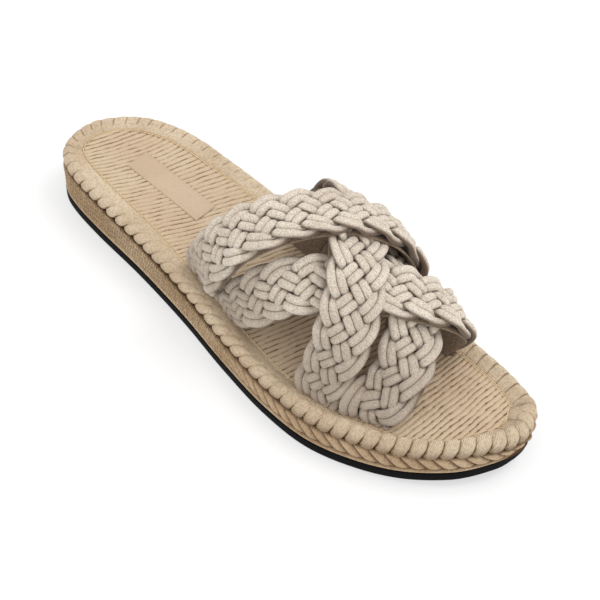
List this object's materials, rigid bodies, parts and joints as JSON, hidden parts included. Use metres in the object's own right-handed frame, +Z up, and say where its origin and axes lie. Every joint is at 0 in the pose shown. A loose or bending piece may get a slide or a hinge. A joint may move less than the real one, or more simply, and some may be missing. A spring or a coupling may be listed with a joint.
{
  "type": "rope sandal",
  "caption": "Flat slide sandal for the right foot: plaited cord straps crossing over the instep, on a rope-edged sole.",
  "frame": {"origin": "on the floor, under the middle of the sandal", "axes": "+X to the toe, +Y to the inner side (the big toe's side of the right foot), +Z up"},
  "size_m": [0.2574, 0.0822, 0.0799],
  "materials": {
    "outsole": "matt black rubber sheet",
    "midsole": "brown jute rope in rows",
    "rope_rim": "light jute rope, plaited",
    "insole": "ribbed jute matting",
    "upper": "off-white cotton cord, plaited"
  },
  "bodies": {
    "root": {"outsole": "outsole", "midsole": "midsole", "rope_rim": "rope_rim", "insole": "insole", "upper": "upper"}
  },
  "joints": []
}
